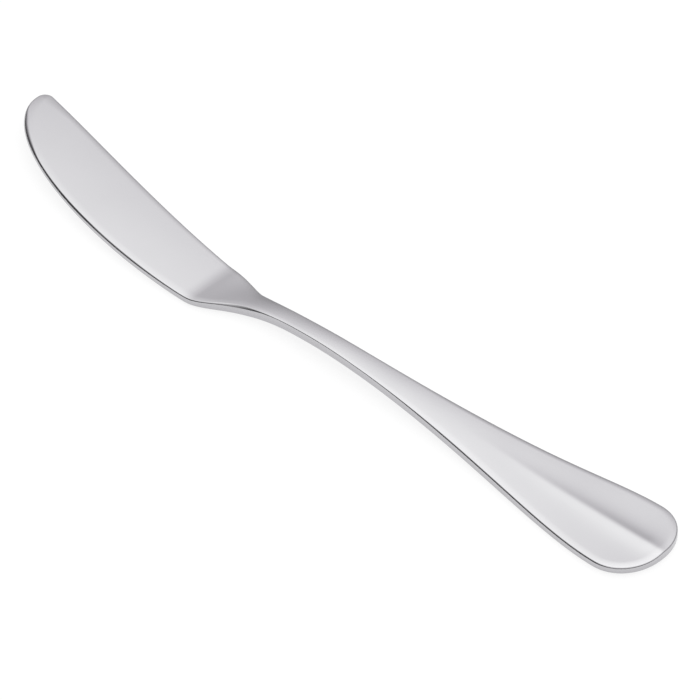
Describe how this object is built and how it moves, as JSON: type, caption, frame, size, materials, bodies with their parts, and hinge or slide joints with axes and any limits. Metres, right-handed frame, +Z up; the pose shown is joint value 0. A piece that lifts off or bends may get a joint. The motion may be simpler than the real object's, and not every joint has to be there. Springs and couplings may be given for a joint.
{
  "type": "butter knife",
  "caption": "One-piece steel butter knife: flat round-tipped blade swept towards its spine, ramped neck and arched handle that flares to a round end with a crest.",
  "frame": {"origin": "on the blade's flat underside, over the handle's axis, 12 mm ahead of the heel along the blade", "axes": "+X along the handle's axis towards the blade's tip, +Y towards the blade's belly edge, +Z up from the table"},
  "size_m": [0.1676, 0.0239, 0.0046],
  "materials": {
    "polished_steel": "satin polish"
  },
  "bodies": {
    "root": {"blade": "polished_steel", "neck": "polished_steel", "shank": "polished_steel", "handle_end": "polished_steel"}
  },
  "joints": []
}
